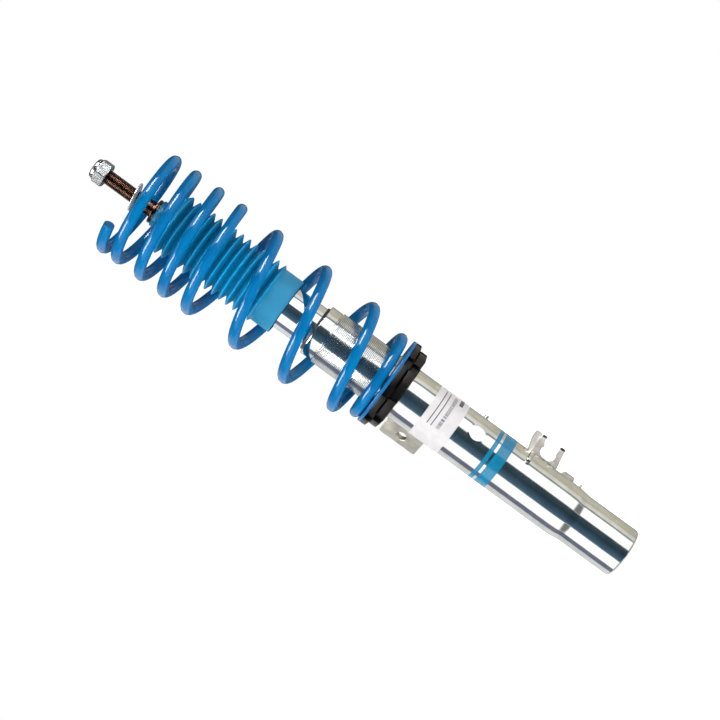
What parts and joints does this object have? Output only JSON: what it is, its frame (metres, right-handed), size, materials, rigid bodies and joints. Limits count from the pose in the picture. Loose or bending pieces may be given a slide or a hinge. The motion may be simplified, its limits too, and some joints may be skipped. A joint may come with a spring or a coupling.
{
  "type": "suspension strut",
  "caption": "Height-adjustable suspension strut: threaded tube with adjuster rings, progressive coil spring, bellows boot, sliding damper and top stud.",
  "frame": {"origin": "centre of the strut tube's lower end, where it enters the knuckle's clamp", "axes": "+Z along the strut towards the top stud, +X towards the hose bracket, -Y the front, with the labels"},
  "size_m": [0.1124, 0.1124, 0.5948],
  "materials": {
    "zinc_steel": "bright zinc plate on drawn tube",
    "plain_steel": "oiled plain steel",
    "hard_chrome": "ground hard chrome",
    "sintered_steel": "sintered",
    "bronze_bush": "sintered bronze",
    "zinc_sheet": "satin zinc plate on pressed sheet",
    "bright_zinc": "bright zinc plate",
    "dark_steel": "blackened and oiled",
    "aluminium": "turned",
    "black_rubber": "moulded",
    "black_plastic": "filled fluoropolymer",
    "white_nylon": "moulded",
    "boot_rubber": "satin moulded elastomer",
    "spring_coat": "glossy powder coat",
    "black_anodised": "black anodised, satin",
    "silver_film": "metallised satin film",
    "blue_film": "tinted film"
  },
  "bodies": {
    "housing": {"strut_tube": "zinc_steel", "bottom_plate": "plain_steel", "rod_nut": "plain_steel", "bump_stop": "black_rubber", "piston_rod": "hard_chrome", "rebound_stop": "plain_steel", "piston": "sintered_steel", "piston_band": "black_plastic", "valve_shims": "plain_steel", "piston_nut": "plain_steel", "lower_guide_bush": "bronze_bush", "upper_guide_bush": "bronze_bush", "wiper_seal": "black_rubber", "link_plate": "zinc_sheet", "hose_bracket": "zinc_sheet", "locating_lug": "zinc_sheet", "locating_pin": "zinc_sheet", "cable_stud": "zinc_sheet", "silver_label": "silver_film", "blue_band": "blue_film"},
    "gas_piston": {"gas_piston": "aluminium", "gas_piston_ring": "black_rubber"},
    "damper": {"damper_tube": "hard_chrome", "end_cap": "plain_steel", "top_stud": "dark_steel", "top_washer": "bright_zinc", "rod_guide": "aluminium", "rod_seal": "black_rubber", "guide_circlip": "plain_steel"},
    "dust_boot": {"dust_boot": "boot_rubber"},
    "top_nut": {"top_nut": "bright_zinc", "nut_insert": "white_nylon"},
    "spring_seat": {"seat_ring": "spring_coat"},
    "perch_ring": {"perch_ring": "black_anodised"},
    "lock_ring": {"lock_ring": "black_anodised"},
    "coil_spring": {"coil_spring": "spring_coat"}
  },
  "joints": [
    {"name": "damper_stroke", "type": "slide", "parent": "housing", "child": "gas_piston", "axis": [0, 0, -1], "range_m": [0, 0.098], "stiffness_N_per_m": 900, "springref_m": -0.25},
    {"name": "damper_twist", "type": "hinge", "parent": "gas_piston", "child": "damper", "pos_m": [0, 0, 0.5], "axis": [0, 0, 1], "continuous": true},
    {"name": "boot_squeeze", "type": "slide", "parent": "damper", "child": "dust_boot", "axis": [0, 0, 1], "range_m": [0, 0.0686], "deforming": ["dust_boot"]},
    {"name": "top_nut_lift", "type": "slide", "parent": "damper", "child": "top_nut", "axis": [0, 0, 1], "range_m": [0, 0.06]},
    {"name": "seat_rise", "type": "slide", "parent": "housing", "child": "spring_seat", "axis": [0, 0, 1], "range_m": [0, 0.03]},
    {"name": "perch_turn", "type": "hinge", "parent": "spring_seat", "child": "perch_ring", "pos_m": [0, 0, 0.26], "axis": [0, 0, 1], "range_deg": [0, 7200]},
    {"name": "lock_turn", "type": "hinge", "parent": "spring_seat", "child": "lock_ring", "pos_m": [0, 0, 0.2525], "axis": [0, 0, 1], "range_deg": [0, 7200]},
    {"name": "spring_squeeze", "type": "slide", "parent": "spring_seat", "child": "coil_spring", "axis": [0, 0, -1], "range_m": [0, 0.098], "deforming": ["coil_spring"]}
  ],
  "couplings": [
    {"joint": "boot_squeeze", "follows": "damper_stroke", "ratio": 0.7},
    {"joint": "spring_squeeze", "follows": "damper_stroke", "ratio": 1},
    {"joint": "seat_rise", "follows": "perch_turn", "m_per_rad": 0.00023873},
    {"joint": "lock_turn", "follows": "perch_turn", "ratio": 1}
  ]
}
